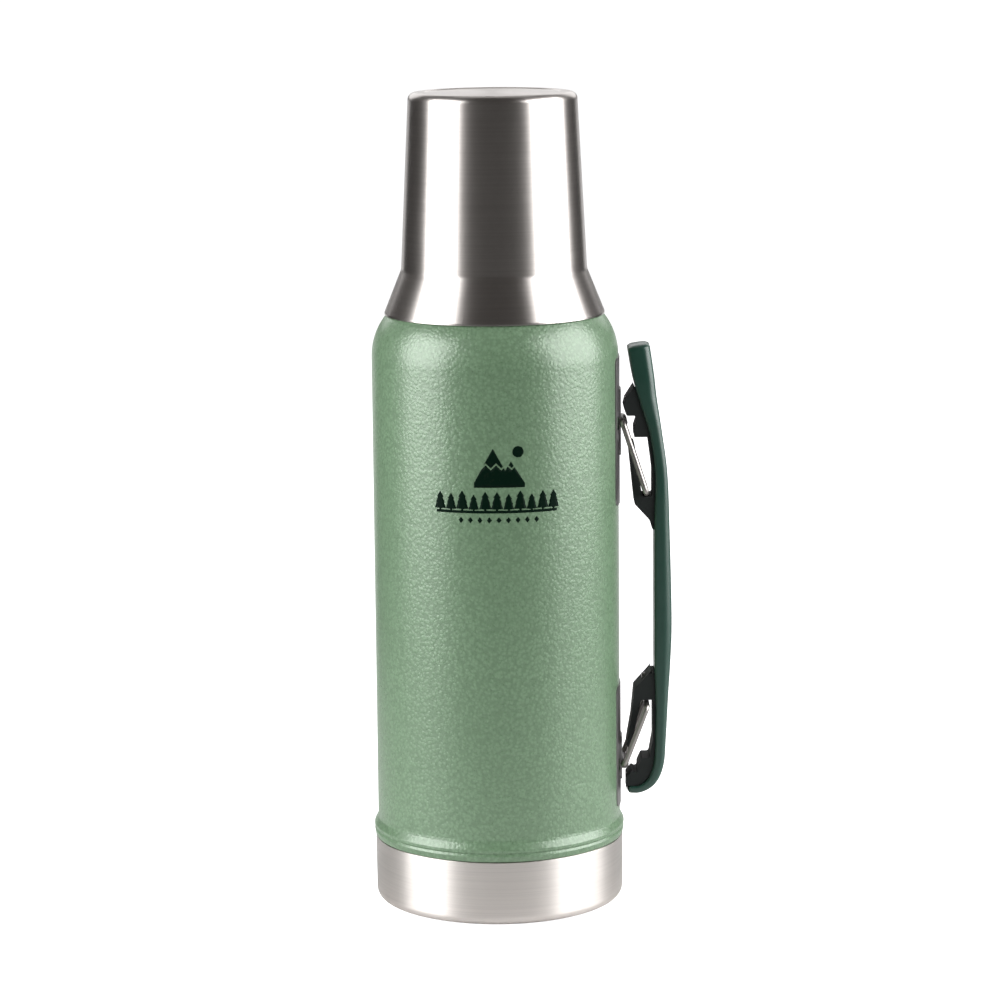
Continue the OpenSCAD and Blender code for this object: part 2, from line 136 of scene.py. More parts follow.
class FlaskStage(bpy.types.PropertyGroup):
    """Camera, lights and floor."""

    lens: bpy.props.FloatProperty(name="Lens", description="Focal length, mm", default=128.9)
    camera_y: length("Camera distance", "From the flask's axis to the camera", 1.6123)
    camera_z: length("Camera height", "Height of the camera", 0.4658)
    pitch: bpy.props.FloatProperty(
        name="Pitch", description="Tilt down of the camera", default=math.radians(9.88),
        subtype="ANGLE",
    )
    roll: bpy.props.FloatProperty(
        name="Roll", description="Roll of the camera", default=-0.0095, subtype="ANGLE"
    )
    shift: bpy.props.FloatProperty(name="Shift", description="Sideways shift", default=0.0037)
    floor: colour("Floor", "Colour of the floor", (0.9, 0.9, 0.9))


def sizes():
    """The sizes in the scene's panel."""
    return bpy.context.scene.flask_sizes


def finish():
    """The finishes in the scene's panel."""
    return bpy.context.scene.flask_finish


# ---- Outlines and surfaces ----


def unit(v):
    """Vectors scaled to length one."""
    return v / np.linalg.norm(v, axis=-1, keepdims=True)


def rounded(points, step=6.0):
    """A closed outline whose corners (x, y, radius) are each replaced by the arc of that radius
    that touches both sides. Points are step degrees apart along an arc."""
    flat = np.array([p[:2] for p in points], float)
    runs = []
    for i, point in enumerate(points):
        radius = point[2] if len(point) > 2 else 0
        corner = flat[i]
        if radius <= 0:
            runs.append(corner[None])
            continue
        back = unit(flat[i - 1] - corner)
        on = unit(flat[(i + 1) % len(flat)] - corner)
        half = math.acos(float(np.clip(back @ on, -1, 1))) / 2
        middle = corner + unit(back + on) * radius / math.sin(half)
        first = corner + back * radius / math.tan(half) - middle
        last = corner + on * radius / math.tan(half) - middle
        start = math.atan2(first[1], first[0])
        sweep = (math.atan2(last[1], last[0]) - start + math.pi) % TURN - math.pi
        count = max(2, math.ceil(abs(math.degrees(sweep)) / step) + 1)
        angle = start + sweep * np.linspace(0, 1, count)
        runs.append(middle + radius * np.stack([np.cos(angle), np.sin(angle)], 1))
    return np.concatenate(runs)


def arc(middle, radius, start, end, count=24):
    """Points of a circle's arc about middle, as corners with no rounding. Angles in radians."""
    angle = np.linspace(start, end, count)
    return [
        (middle[0] + radius * c, middle[1] + radius * s)
        for c, s in zip(np.cos(angle), np.sin(angle))
    ]


def supported(loop, margin=0.5 * MM):
    """Adds a point a short way in from both ends of every long side of a closed outline, so that
    smooth shading bends only at its corners."""
    ahead = np.roll(loop, -1, 0) - loop
    side = np.linalg.norm(ahead, axis=1)
    near = np.where(side > 4 * margin, margin / np.maximum(side, 1e-12), 0)[:, None]
    points = np.stack([loop, loop + ahead * near, loop + ahead * (1 - near)], 1)
    keep = np.ones(points.shape[:2], bool)
    keep[:, 1:] = near > 0
    return points[keep]


def lathe(outline, count=160, radius_of=None):
    """A closed outline turned about Z: its point (r, z) at angle a lies at
    (r cos a, r sin a, z). radius_of(r, z, a), if given, returns r changed by place."""
    loop = supported(rounded(outline))
    r = np.repeat(loop[:, :1], count, 1)
    z = np.repeat(loop[:, 1:], count, 1)
    a = np.broadcast_to(np.arange(count) * TURN / count, r.shape)
    if radius_of is not None:
        r = radius_of(r, z, a)
    return np.stack([r * np.cos(a), r * np.sin(a), z], -1)


def ridge(radius, rise, side, z0, pitch=5 * MM, turns=1.8, width=2.2 * MM):
    """A helical thread ridge on a wall: along t it turns at the wall's radius and climbs pitch a
    turn; across v it is a raised cosine, rise high and width wide, that fades at both ends.
    side is +1 for a thread that stands outwards and -1 for one that stands inwards."""
    t = np.linspace(0, turns, int(turns * 72) + 1)[:, None]
    v = np.linspace(0, TURN, 16, endpoint=False)[None]
    fade = np.clip(np.minimum(t, turns - t) * 6, 0.02, 1)
    top = np.clip(np.sin(v), 0, 1) ** 0.6
    under = np.clip(-np.sin(v), 0, 1) * 0.2
    r = radius + side * rise * fade * (top - under) - side * 0.02 * MM
    z = z0 + pitch * t + width / 2 * fade * np.cos(v)
    a = TURN * t + 0 * v
    return np.stack([r * np.cos(a), r * np.sin(a), z + 0 * a], -1)


def sweep(path, normal, radius, count=16):
    """A round wire along a closed flat path: its section circle is spanned by the plane's normal
    and by the direction square to both the path and the normal."""
    ahead = unit(np.roll(path, -1, 0) - np.roll(path, 1, 0))
    across = unit(np.cross(ahead, normal))
    v = np.linspace(0, TURN, count, endpoint=False)
    return (
        path[:, None]
        + radius * np.cos(v)[None, :, None] * across[:, None]
        + radius * np.sin(v)[None, :, None] * np.asarray(normal)[None, None]
    )


def grid_faces(rows, cols, wrap_rows, wrap_cols, first=0):
    """The quads of a grid of points stored row by row."""
    i, j = np.meshgrid(
        np.arange(rows if wrap_rows else rows - 1),
        np.arange(cols if wrap_cols else cols - 1),
        indexing="ij",
    )
    i, j = i.ravel(), j.ravel()
    up, right = (i + 1) % rows, (j + 1) % cols
    return first + np.stack(
        [i * cols + j, i * cols + right, up * cols + right, up * cols + j], 1
    )


class Surfaces:
    """Collects grids of points into one mesh."""

    def __init__(self):
        self.points, self.faces, self.count = [], [], 0

    def add(self, grid, wrap_rows=True, wrap_cols=True):
        """Adds a grid of points, joined round on itself along its rows, its columns or both."""
        rows, cols = grid.shape[:2]
        self.faces.append(grid_faces(rows, cols, wrap_rows, wrap_cols, self.count))
        self.points.append(grid.reshape(-1, 3))
        self.count += rows * cols
        return self

    def capped(self, grid):
        """Adds a tube of rings, and closes each end with a fan to its ring's middle."""
        ends = [np.repeat(grid[k].mean(0)[None], grid.shape[1], 0) for k in (0, -1)]
        return self.add(np.concatenate([ends[0][None], grid, ends[1][None]]), False, True)

    def mesh(self, name, closed=True, sharp=38):
        """The welded mesh, smooth except along edges sharper than the given angle in degrees."""
        mesh = bpy.data.meshes.new(name)
        mesh.from_pydata(np.concatenate(self.points), [], np.concatenate(self.faces).tolist())
        work = bmesh.new()
        work.from_mesh(mesh)
        bmesh.ops.remove_doubles(work, verts=work.verts, dist=1e-7)
        bmesh.ops.dissolve_degenerate(work, edges=work.edges, dist=1e-8)
        if closed:
            bmesh.ops.recalc_face_normals(work, faces=work.faces)
        work.to_mesh(mesh)
        work.free()
        mesh.polygons.foreach_set("use_smooth", np.ones(len(mesh.polygons), bool))
        mesh.set_sharp_from_angle(angle=math.radians(sharp))
        return mesh


def place(name, surfaces, material, body, nodes=(), closed=True, sharp=38):
    """Makes the piece, gives it its finish, and ties it to the frame."""
    mesh = surfaces.mesh(name, closed, sharp)
    mesh.materials.append(material)
    piece = bpy.data.objects.new(name, mesh)
    bpy.context.scene.collection.objects.link(piece)
    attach(piece, body)
    if nodes:
        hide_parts(*nodes)
    return piece


def turned(name, outline, material, body, nodes=(), ridges=(), radius_of=None, count=160):
    """A lathe piece, with any thread ridges that stand on it."""
    surfaces = Surfaces().add(lathe(outline, count, radius_of))
    for thread in ridges:
        surfaces.capped(thread)
    return place(name, surfaces, material, body, nodes)


# ---- Finishes ----


def add(tree, kind, **values):
    """A node with its options and unlinked inputs set by name."""
    node = tree.nodes.new("ShaderNode" + kind)
    for key, value in values.items():
        if hasattr(node, key):
            setattr(node, key, value)
        else:
            node.inputs[key.replace("_", " ")].default_value = value
    return node


def group(name, inputs, outputs):
    """An empty node group with float and vector sockets, and its two end nodes."""
    tree = bpy.data.node_groups.new(name, "ShaderNodeTree")
    for label, kind, default in inputs:
        socket = tree.interface.new_socket(name=label, in_out="INPUT", socket_type="NodeSocket" + kind)
        if default is not None:
            socket.default_value = default
    for label in outputs:
        tree.interface.new_socket(name=label, in_out="OUTPUT", socket_type="NodeSocketFloat")
    ins = tree.nodes.new("NodeGroupInput")
    outs = tree.nodes.new("NodeGroupOutput")
    return tree, ins, outs


def maths(tree, operation, a, b=None):
    """One Math node on links or numbers."""
    node = add(tree, "Math", operation=operation)
    for socket, value in zip(node.inputs, (a, b)):
        if value is None:
            continue
        if isinstance(value, bpy.types.NodeSocket):
            tree.links.new(value, socket)
        else:
            socket.default_value = value
    return node.outputs[0]


def ranged(tree, value, low, high, out_low, out_high, smooth=True):
    """Maps a value from one range to another, held at the ends."""
    node = add(tree, "MapRange", interpolation_type="SMOOTHSTEP" if smooth else "LINEAR")
    tree.links.new(value, node.inputs["Value"])
    for label, number in zip(("From Min", "From Max", "To Min", "To Max"), (low, high, out_low, out_high)):
        node.inputs[label].default_value = number
    return node.outputs["Result"]


def scaled(tree, vector, factors):
    """A vector with each part multiplied by its own factor."""
    node = add(tree, "VectorMath", operation="MULTIPLY")
    tree.links.new(vector, node.inputs[0])
    node.inputs[1].default_value = factors
    return node.outputs[0]


def brushing_group():
    """Lines turned round Z: noise read at (x, y, z + distance from Z), slow along a ring and
    quick from ring to ring, so that it runs on over a corner from a wall to a flat end."""
    tree, ins, outs = group(
        "turned_brushing", [("Vector", "Vector", None), ("Fineness", "Float", 1.0)], ["Lines", "Height"]
    )
    split = add(tree, "SeparateXYZ")
    tree.links.new(ins.outputs["Vector"], split.inputs[0])
    x, y, z = split.outputs
    squares = maths(tree, "MULTIPLY", x, x), maths(tree, "MULTIPLY", y, y)
    reach = maths(tree, "SQRT", maths(tree, "ADD", *squares))
    ring = maths(tree, "MULTIPLY", maths(tree, "ADD", z, reach), ins.outputs["Fineness"])
    results = []
    for around, along, detail in ((10, 1500, 2.0), (24, 5200, 2.0)):
        join = add(tree, "CombineXYZ")
        tree.links.new(maths(tree, "MULTIPLY", x, around), join.inputs[0])
        tree.links.new(maths(tree, "MULTIPLY", y, around), join.inputs[1])
        tree.links.new(maths(tree, "MULTIPLY", ring, along), join.inputs[2])
        noise = add(tree, "TexNoise", Scale=1.0, Detail=detail, Roughness=0.6)
        tree.links.new(join.outputs[0], noise.inputs["Vector"])
        results.append(noise.outputs["Fac"])
    tree.links.new(results[0], outs.inputs["Lines"])
    height = maths(tree, "ADD", maths(tree, "MULTIPLY", results[0], 0.35), results[1])
    tree.links.new(height, outs.inputs["Height"])
    return tree


def handling_group():
    """Faint smears and finger marks: two soft noises multiplied, one of them stretched."""
    tree, ins, outs = group(
        "handling_marks", [("Vector", "Vector", None), ("Scale", "Float", 30.0)], ["Mask"]
    )
    values = []
    for factors, detail in (((1, 1, 0.45), 4.0), ((2.6, 2.6, 2.0), 3.0)):
        noise = add(tree, "TexNoise", Detail=detail, Roughness=0.62)
        tree.links.new(scaled(tree, ins.outputs["Vector"], factors), noise.inputs["Vector"])
        tree.links.new(ins.outputs["Scale"], noise.inputs["Scale"])
        values.append(noise.outputs["Fac"])
    mixed = maths(tree, "MULTIPLY", values[0], values[1])
    tree.links.new(ranged(tree, mixed, 0.14, 0.38, 0.0, 1.0), outs.inputs["Mask"])
    return tree


def grain_group():
    """Fine moulded grain for plastics and rubber."""
    tree, ins, outs = group(
        "moulded_grain", [("Vector", "Vector", None), ("Scale", "Float", 2600.0)], ["Height", "Shade"]
    )
    noise = add(tree, "TexNoise", Detail=2.0, Roughness=0.5)
    tree.links.new(ins.outputs["Vector"], noise.inputs["Vector"])
    tree.links.new(ins.outputs["Scale"], noise.inputs["Scale"])
    cells = add(tree, "TexVoronoi", feature="SMOOTH_F1", Smoothness=0.6)
    tree.links.new(ins.outputs["Vector"], cells.inputs["Vector"])
    tree.links.new(ins.outputs["Scale"], cells.inputs["Scale"])
    tree.links.new(maths(tree, "ADD", noise.outputs["Fac"], cells.outputs["Distance"]), outs.inputs["Height"])
    tree.links.new(noise.outputs["Fac"], outs.inputs["Shade"])
    return tree


def wear_group():
    """Edges rubbed brighter: convex edges by pointiness, broken up by noise."""
    tree, ins, outs = group("edge_wear", [("Vector", "Vector", None), ("Reach", "Float", 0.56)], ["Mask"])
    surface = add(tree, "NewGeometry")
    noise = add(tree, "TexNoise", Scale=420.0, Detail=4.0, Roughness=0.65)
    tree.links.new(ins.outputs["Vector"], noise.inputs["Vector"])
    edge = maths(tree, "SUBTRACT", surface.outputs["Pointiness"], ins.outputs["Reach"])
    sharp = ranged(tree, edge, 0.0, 0.06, 0.0, 1.0)
    patch = ranged(tree, noise.outputs["Fac"], 0.42, 0.62, 0.0, 1.0)
    tree.links.new(maths(tree, "MULTIPLY", sharp, patch), outs.inputs["Mask"])
    return tree


def shared(name):
    """The shared effect of that name, built the first time it is asked for."""
    makers = {
        "turned_brushing": brushing_group,
        "handling_marks": handling_group,
        "moulded_grain": grain_group,
        "edge_wear": wear_group,
    }
    return bpy.data.node_groups.get(name) or makers[name]()


class Finish:
    """A material under way: its Principled shader, its Object coordinates and its links."""

    def __init__(self, name, colour_, **sockets):
        self.material = bpy.data.materials.new(name)
        self.material.use_nodes = True
        self.tree = self.material.node_tree
        self.shader = self.tree.nodes["Principled BSDF"]
        self.shader.inputs["Base Color"].default_value = (*colour_, 1)
        for key, value in sockets.items():
            self.shader.inputs[key.replace("_", " ")].default_value = value
        self.material.diffuse_color = (*colour_, 1)
        self.vector = add(self.tree, "TexCoord").outputs["Object"]

    def effect(self, name, **values):
        """Places a shared effect, reading this material's coordinates."""
        node = self.tree.nodes.new("ShaderNodeGroup")
        node.node_tree = shared(name)
        self.tree.links.new(self.vector, node.inputs["Vector"])
        for key, value in values.items():
            node.inputs[key].default_value = value
        return node.outputs

    def to(self, value, label):
        """Links a value to one of the shader's sockets."""
        self.tree.links.new(value, self.shader.inputs[label])

    def bump(self, height, distance, strength=1.0):
        """Roughs up the shader's normal by a height."""
        node = add(self.tree, "Bump", Distance=distance, Strength=strength)
        self.tree.links.new(height, node.inputs["Height"])
        self.to(node.outputs["Normal"], "Normal")

    def blend(self, factor, first, second):
        """A colour between two, each a colour or a link."""
        node = add(self.tree, "Mix", data_type="RGBA")
        self.tree.links.new(factor, node.inputs["Factor"])
        for label, value in (("A", first), ("B", second)):
            socket = next(s for s in node.inputs if s.name == label and s.type == "RGBA")
            if isinstance(value, bpy.types.NodeSocket):
                self.tree.links.new(value, socket)
            else:
                socket.default_value = (*value, 1)
        return next(s for s in node.outputs if s.type == "RGBA")


def hammertone():
    """Hammered enamel: cells about two millimetres across, raised in the middle and painted pale there,
    partly as the flakes' own tone and partly as a painted highlight on the raised middles, so that the
    hollows between them look darker; with a scatter of small dark specks."""
    look = finish()
    f = Finish("hammertone_enamel", look.paint, Metallic=0.08, Roughness=0.36, Coat_Weight=0.5)
    f.shader.inputs["Specular IOR Level"].default_value = 0.8
    f.shader.inputs["Coat Roughness"].default_value = 0.28
    scale = 1 / look.flake
    warp = add(f.tree, "TexNoise", Scale=scale * 0.7, Detail=2.0)
    f.tree.links.new(f.vector, warp.inputs["Vector"])
    push = scaled(f.tree, warp.outputs["Color"], (0.9 * MM,) * 3)
    moved = add(f.tree, "VectorMath", operation="ADD")
    f.tree.links.new(f.vector, moved.inputs[0])
    f.tree.links.new(push, moved.inputs[1])
    cells = add(f.tree, "TexVoronoi", feature="SMOOTH_F1", Scale=scale, Smoothness=0.35)
    f.tree.links.new(moved.outputs[0], cells.inputs["Vector"])
    fine = add(f.tree, "TexNoise", Scale=scale * 1.6, Detail=3.0, Roughness=0.55)
    f.tree.links.new(moved.outputs[0], fine.inputs["Vector"])
    broad = add(f.tree, "TexNoise", Scale=22.0, Detail=2.0)
    f.tree.links.new(f.vector, broad.inputs["Vector"])
    # flake is high in the raised middle of each cell. It paints them pale, partly the flakes' own tone and
    # partly painted highlight.
    flake = ranged(f.tree, cells.outputs["Distance"], 0.15, 0.75, 1.0, 0.0)
    pits = ranged(f.tree, fine.outputs["Fac"], 0.64, 0.76, 0.0, 0.8)
    tone = f.blend(flake, look.paint, look.paint_flake_highlight)
    tone = f.blend(ranged(f.tree, broad.outputs["Fac"], 0.3, 0.7, 0.0, 0.28), tone, look.paint)
    f.to(f.blend(pits, tone, look.paint_dark), "Base Color")
    f.to(ranged(f.tree, fine.outputs["Fac"], 0.3, 0.7, 0.26, 0.42), "Roughness")
    height = maths(f.tree, "ADD", flake, maths(f.tree, "MULTIPLY", fine.outputs["Fac"], 0.8))
    f.bump(height, look.dimple * 0.2 * MM)
    return f.material


def steel(name, colour_, roughness, fineness=1.0, depth=0.012, anisotropic=0.75):
    """Bare steel brushed round the axis, with faint handling marks."""
    f = Finish(name, colour_, Metallic=1.0, Roughness=roughness, Anisotropic=anisotropic)
    f.shader.inputs["Anisotropic Rotation"].default_value = 0.25
    tangent = add(f.tree, "Tangent", direction_type="RADIAL", axis="Z")
    f.tree.links.new(tangent.outputs[0], f.shader.inputs["Tangent"])
    lines = f.effect("turned_brushing", Fineness=fineness)
    marks = f.effect("handling_marks", Scale=22.0)
    shade = f.blend(
        ranged(f.tree, lines["Lines"], 0.3, 0.7, 0.0, 1.0, False),
        tuple(0.95 * c for c in colour_), tuple(min(1, 1.03 * c) for c in colour_),
    )
    f.to(shade, "Base Color")
    rough = maths(f.tree, "ADD", maths(f.tree, "MULTIPLY", lines["Height"], 0.05), roughness - 0.03)
    f.to(maths(f.tree, "ADD", rough, maths(f.tree, "MULTIPLY", marks["Mask"], 0.015)), "Roughness")
    f.bump(lines["Height"], depth * MM, 0.6)
    return f.material


def plastic(name, colour_, roughness, grain=0.006, scale=2600.0, coat=0.0, edge=1.8, shine=0.5):
    """Moulded plastic or rubber with a fine grain, paler where its edges are rubbed."""
    f = Finish(name, colour_, Roughness=roughness, Coat_Weight=coat)
    f.shader.inputs["Specular IOR Level"].default_value = shine
    f.shader.inputs["Coat Roughness"].default_value = 0.32
    fine = f.effect("moulded_grain", Scale=scale)
    marks = f.effect("handling_marks", Scale=60.0)
    worn = f.effect("edge_wear")
    pale = tuple(min(1, edge * c + 0.004) for c in colour_)
    tone = f.blend(maths(f.tree, "MULTIPLY", fine["Shade"], 0.5), colour_, tuple(0.75 * c for c in colour_))
    f.to(f.blend(maths(f.tree, "MULTIPLY", worn["Mask"], 0.6), tone, pale), "Base Color")
    rough = maths(f.tree, "ADD", maths(f.tree, "MULTIPLY", marks["Mask"], 0.12), roughness - 0.04)
    f.to(rough, "Roughness")
    f.bump(fine["Height"], grain * MM, 0.5)
    return f.material


def plain_metal(name, colour_, roughness, scale=300.0, depth=0.02, mottle=1.0):
    """Sheet or cast metal with a slightly uneven surface. mottle scales how far its tone strays."""
    f = Finish(name, colour_, Metallic=1.0, Roughness=roughness)
    noise = add(f.tree, "TexNoise", Scale=scale, Detail=5.0, Roughness=0.6)
    f.tree.links.new(f.vector, noise.inputs["Vector"])
    worn = f.effect("edge_wear")
    dark, pale, bright = (
        tuple(min(1, (1 + mottle * part) * c) for c in colour_) for part in (-0.3, 0.2, 0.7)
    )
    f.to(f.blend(worn["Mask"], f.blend(noise.outputs["Fac"], dark, pale), bright), "Base Color")
    f.to(ranged(f.tree, noise.outputs["Fac"], 0.3, 0.7, roughness - 0.06, roughness + 0.08), "Roughness")
    f.bump(noise.outputs["Fac"], depth * MM, 0.5)
    return f.material


def ink():
    """Printed enamel: flat, a little glossier than the paint, thin in places."""
    look = finish()
    f = Finish("front_print", look.ink, Roughness=0.5)
    f.shader.inputs["Specular IOR Level"].default_value = 0.06
    noise = add(f.tree, "TexNoise", Scale=900.0, Detail=3.0)
    f.tree.links.new(f.vector, noise.inputs["Vector"])
    thin = ranged(f.tree, noise.outputs["Fac"], 0.58, 0.72, 0.0, 0.35)
    f.to(f.blend(thin, look.ink, tuple(0.08 * c for c in look.paint)), "Base Color")
    f.bump(noise.outputs["Fac"], 0.02 * MM, 0.4)
    return f.material


def material(name):
    """The flask's own finishes, each made once."""
    look = finish()
    # The band's steel is a brighter copy of the steel, a painted reflection of the pale floor below it. The
    # wire's steel is a darker copy, painted shade that calms its highlight.
    band, wire = (tuple(part * c for c in look.steel) for part in (1.35, 0.75))
    makers = {
        "hammertone_enamel": hammertone,
        "front_print": ink,
        "cup_steel": lambda: steel("cup_steel", look.steel, 0.30, 1.0, 0.003, 0.7),
        "band_steel_painted_reflection": lambda: steel("band_steel_painted_reflection", band, 0.36, 1.0, 0.003, 0.8),
        "inner_steel": lambda: steel("inner_steel", look.steel, 0.22, 1.4, 0.006, 0.5),
        # Darkened steel for plates, straps and screws: partly a dark finish, partly painted shade.
        "bracket_steel": lambda: plain_metal("bracket_steel", look.steel_dark_and_shade, 0.36),
        "bail_wire_painted_shade": lambda: plain_metal("bail_wire_painted_shade", wire, 0.38, 260.0, 0.001, 0.15),
        "dull_metal": lambda: plain_metal("dull_metal", (0.3, 0.3, 0.31), 0.5),
        "copper_foil": lambda: plain_metal("copper_foil", (0.80, 0.46, 0.30), 0.3, 120.0, 0.15),
        "grip_plastic": lambda: plastic("grip_plastic", look.grip, 0.40, 0.003, 2200.0, 0.5, 2.4, 0.7),
        "insert_plastic": lambda: plastic("insert_plastic", look.insert, 0.5, 0.008, shine=0.2),
        "stopper_plastic": lambda: plastic("stopper_plastic", (0.018, 0.021, 0.021), 0.42),
        "seal_rubber": lambda: plastic("seal_rubber", look.rubber, 0.62, 0.006, 1800.0, 0.0, 1.2),
        "rigid_foam": lambda: plastic("rigid_foam", (0.78, 0.76, 0.68), 0.85, 0.06, 900.0),
    }
    return bpy.data.materials.get(name) or makers[name]()


def dress(node, name):
    """Gives a CAD node that stays as it is one of the finishes."""
    thing = frame["nodes"][node]
    for slot in thing.material_slots:
        slot.material = material(name)


# ---- Vessel ----


class FLASK_OT_body(bpy.types.Operator):
    """Painted outer shell with its rolled bead, shoulder and threaded neck, and the steel base"""

    bl_idname = "flask.body"
    bl_label = "Body and base"
    bl_options = {"REGISTER"}

    def execute(self, context):
        s = sizes()
        r, wall, bead = s.body_r, s.shell_wall, BAND_Z + 0.4 * MM
        inside = r - wall
        centre = (r - s.shoulder_r, s.shoulder_z)
        steep = math.acos((s.neck_r - centre[0]) / s.shoulder_r)
        in_r = s.shoulder_r - wall
        in_steep = math.acos((s.neck_r - wall - centre[0]) / in_r)
        skirt, brim = 4.5 * MM, MOUTH_Z - 0.8 * MM
        outline = [
            (r, skirt), (r, bead), (r + 1.25 * MM, bead, 0.2 * MM),
            (r + 1.7 * MM, bead + 2.4 * MM, 0.5 * MM), (r + 1.2 * MM, bead + 3.5 * MM, 0.15 * MM),
            (r + 1.75 * MM, bead + 4.2 * MM, 0.4 * MM), (r + 1.7 * MM, bead + 5.4 * MM, 0.8 * MM),
            (r + 0.2 * MM, bead + 8.2 * MM, 1.5 * MM), (r, bead + 9.6 * MM, 2 * MM),
            *arc(centre, s.shoulder_r, 0, steep, 32),
            (s.neck_r, brim), (s.neck_r - wall, brim),
            *arc(centre, in_r, in_steep, 0, 24),
            (inside, bead + 9.6 * MM), (r + 0.7 * MM, bead + 6 * MM, 1.5 * MM),
            (r + 0.7 * MM, bead + 3 * MM, 1 * MM), (inside, bead + 0.4 * MM), (inside, skirt),
        ]
        thread = ridge(s.neck_r, 0.6 * MM, 1, MOUTH_Z - 14 * MM)
        turned(
            "painted_shell", outline, material("hammertone_enamel"), "flask",
            ["outer_shell"], [thread], count=224,
        )
        floor, corner, band = 0.9 * MM, 4 * MM, r + 0.9 * MM
        base = [
            (0, 0), (24 * MM, 0, 0.2 * MM), (24.8 * MM, floor, 0.3 * MM),
            (28.2 * MM, floor, 0.3 * MM), (29 * MM, 0, 0.2 * MM),
            (band, 0, corner), (band + 0.25 * MM, BAND_Z, 0.2 * MM), (r, BAND_Z),
            (r, floor, corner - floor), (29.4 * MM, floor), (28.6 * MM, 2 * floor),
            (24.4 * MM, 2 * floor), (23.6 * MM, floor), (0, floor),
        ]
        turned("steel_base", base, material("band_steel_painted_reflection"), "flask", ["base_cap"], count=224)
        return {"FINISHED"}


class FLASK_OT_liner(bpy.types.Operator):
    """Inner vessel: its wall, shoulder and threaded mouth, and its floor"""

    bl_idname = "flask.liner"
    bl_label = "Liner"
    bl_options = {"REGISTER"}

    def execute(self, context):
        s = sizes()
        wall, joint, bend = s.liner_wall, 28 * MM, 24 * MM
        inside, throat = s.liner_r - wall, s.mouth_r + wall
        centre = (s.liner_r - bend, s.shoulder_z - 2 * MM)
        steep = math.acos((throat - centre[0]) / bend)
        in_steep = math.acos((s.mouth_r - centre[0]) / (bend - wall))
        brim = MOUTH_Z - 0.8 * MM
        outline = [
            (s.liner_r, joint), *arc(centre, bend, 0, steep),
            (throat, brim), (s.neck_r, brim), (s.neck_r, MOUTH_Z, 0.3 * MM),
            (s.mouth_r, MOUTH_Z, 0.4 * MM), *arc(centre, bend - wall, in_steep, 0), (inside, joint),
        ]
        thread = ridge(s.mouth_r, 0.6 * MM, -1, MOUTH_Z - 19 * MM)
        turned(
            "liner_wall", outline, material("inner_steel"), "flask",
            ["inner_liner"], [thread],
        )
        deep = 20 * MM
        floor = [
            (0, deep - wall), (s.liner_r, deep - wall, 7 * MM), (s.liner_r, joint),
            (inside, joint), (inside, deep, 6.3 * MM), (0, deep),
        ]
        turned("liner_floor", floor, material("inner_steel"), "flask", ["liner_bottom"])
        return {"FINISHED"}


# ---- Print on the front ----


def on_body(u, z, lift=0.04 * MM):
    """Wraps a flat drawing round the front: u along the wall goes to the angle u / radius from
    -Y, and z stays."""
    radius = sizes().body_r
    angle = u / radius
    reach = radius + lift
    return np.stack([reach * np.sin(angle), -reach * np.cos(angle), z + 0 * u], -1)


def figure(middle, base, height, half_width, rows=24, cols=13):
    """A filled shape that is the same on both sides of its middle line: half_width(t) is half
    its width at the part t of its height."""
    t = np.linspace(0, 1, rows)[:, None]
    side = np.linspace(-1, 1, cols)[None]
    return on_body(middle + side * half_width(t), base + height * t + 0 * side)


def slope(left, right, base, low, high, cols=60):
    """A filled band from the line low(u) up to the line high(u)."""
    u = np.linspace(left, right, cols)[None]
    t = np.linspace(0, 1, 6)[:, None]
    bottom, top = low(u), np.maximum(high(u), low(u))
    return on_body(u + 0 * t, base + bottom + (top - bottom) * t)


def peaks(u, tops):
    """The height at u of a row of peaks, each given as (middle, height, half base)."""
    return np.max([h * np.clip(1 - np.abs(u - m) / w, 0, None) for m, h, w in tops], 0)


def pine(t):
    """Half width of a pine tree, as a part of its height: a stem and three tiers of branches."""
    tiers = np.where(t < 0.42, 0.34 * (0.42 - t) + 0.20, 0)
    tiers = np.where((t >= 0.42) & (t < 0.7), 0.36 * (0.7 - t) + 0.13, tiers)
    tiers = np.where(t >= 0.7, 0.62 * (1 - t), tiers)
    return np.where(t < 0.12, 0.05, tiers)


